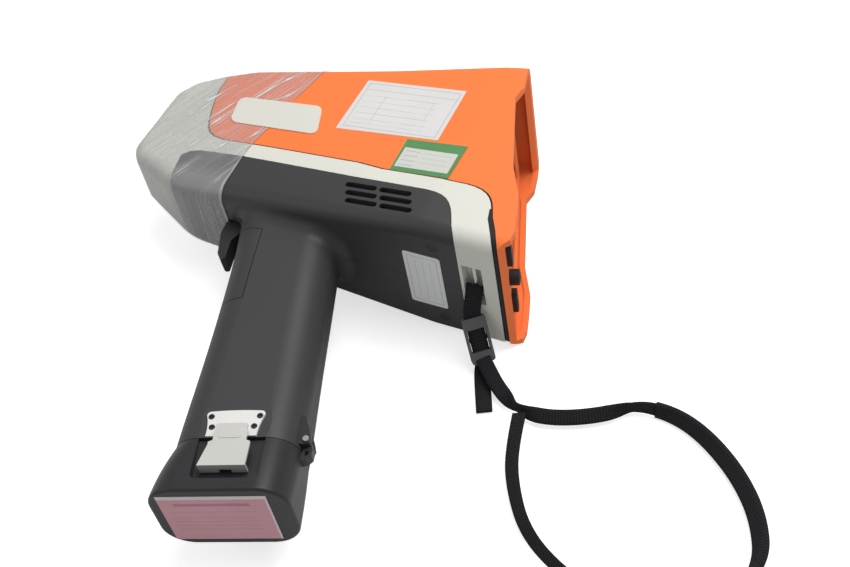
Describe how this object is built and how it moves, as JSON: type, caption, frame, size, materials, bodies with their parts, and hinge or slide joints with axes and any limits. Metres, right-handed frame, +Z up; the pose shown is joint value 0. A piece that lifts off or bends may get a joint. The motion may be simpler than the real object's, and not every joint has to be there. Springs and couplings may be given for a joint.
{
  "type": "handheld xrf analyzer",
  "caption": "Handheld XRF analyzer lying on its side: orange and grey body, black pistol grip with battery door, wrist strap and clear film round the nose.",
  "frame": {"origin": "centre of the underside of the bounding box of the instrument lying on its right side, strap left out", "axes": "+Z up through the instrument's left side, +Y towards its top as held in use, -X towards its nose"},
  "size_m": [0.3923, 0.2992, 0.0836],
  "materials": {
    "orange_shell": "smooth",
    "silver_casting": "satin",
    "black_housing": "fine texture",
    "trigger_black": "satin",
    "black_rubber": "matte",
    "screen_glass": "gloss",
    "circuit_board": "satin",
    "bright_steel": "satin",
    "dark_screws": "satin",
    "heat_sink_aluminium": "satin",
    "white_label": "matte",
    "green_label": "matte",
    "pink_label": "matte",
    "plate_finish": "satin",
    "clear_film": "clear",
    "black_webbing": "ribbed",
    "grey_buckle": "satin",
    "battery_case": "satin",
    "contact_brass": "bright",
    "latch_metal": "satin"
  },
  "bodies": {
    "frame": {"top_cover": "orange_shell", "cover_seal": "black_rubber", "chassis_frame": "silver_casting", "housing_left": "black_housing", "housing_right": "black_housing", "trigger_shroud": "trigger_black", "trigger_pin": "bright_steel", "trigger_spring": "bright_steel", "microswitch": "battery_case", "screen_bezel": "orange_shell", "touchscreen_glass": "screen_glass", "display_panel": "screen_glass", "keypad_board": "circuit_board", "switch_domes": "bright_steel", "status_light": "black_rubber", "name_plate": "plate_finish", "white_sticker": "white_label", "green_sticker": "green_label", "underside_label": "white_label", "housing_screws": "dark_screws", "window_frame": "bright_steel", "window_film": "clear_film", "window_screws": "dark_screws", "collimator": "heat_sink_aluminium", "xray_tube": "bright_steel", "high_voltage_supply": "heat_sink_aluminium", "detector": "bright_steel", "heat_sink": "heat_sink_aluminium", "main_board": "circuit_board", "vent_mesh": "dark_screws", "battery_pack": "battery_case", "battery_contacts": "contact_brass", "hinge_lugs": "black_housing", "hinge_pin": "bright_steel", "latch_plate": "latch_metal", "latch_screws": "dark_screws", "latch_pin": "bright_steel", "strap_bar": "bright_steel", "strap_lead": "black_webbing", "strap_stub": "black_webbing", "strap_leg_a": "black_webbing", "wrist_pad": "black_webbing", "strap_leg_b": "black_webbing", "buckle": "grey_buckle", "nose_film": "clear_film"},
    "trigger": {"trigger": "trigger_black"},
    "button_left": {"button_left": "black_rubber"},
    "button_right": {"button_right": "black_rubber"},
    "nav_knob": {"nav_knob": "black_rubber"},
    "battery_door": {"battery_door": "black_housing", "battery_label": "pink_label"},
    "latch_clasp": {"latch_clasp": "latch_metal"}
  },
  "joints": [
    {"name": "trigger_pull", "type": "hinge", "parent": "frame", "child": "trigger", "pos_m": [-0.03327, 0.0226, 0.0415], "axis": [0, 0, 1], "range_deg": [0, 5], "stiffness_Nm_per_rad": 2},
    {"name": "button_left_press", "type": "slide", "parent": "frame", "child": "button_left", "axis": [-0.934, -0.3574, 0], "range_m": [0, 0.001], "stiffness_N_per_m": 600},
    {"name": "button_right_press", "type": "slide", "parent": "frame", "child": "button_right", "axis": [-0.934, -0.3574, 0], "range_m": [0, 0.001], "stiffness_N_per_m": 600},
    {"name": "nav_knob_press", "type": "slide", "parent": "frame", "child": "nav_knob", "axis": [-0.934, -0.3574, 0], "range_m": [0, 0.001], "stiffness_N_per_m": 600},
    {"name": "door_hinge", "type": "hinge", "parent": "frame", "child": "battery_door", "pos_m": [0.06537, -0.09276, 0.0415], "axis": [0, 0, 1], "range_deg": [0, 62]},
    {"name": "clasp_hinge", "type": "hinge", "parent": "frame", "child": "latch_clasp", "pos_m": [0.03658, -0.10399, 0.0651], "axis": [-0.934, -0.3574, 0], "range_deg": [0, 95]}
  ],
  "couplings": [
    {"joint": "door_hinge", "follows": "clasp_hinge", "ratio": 0.65}
  ]
}
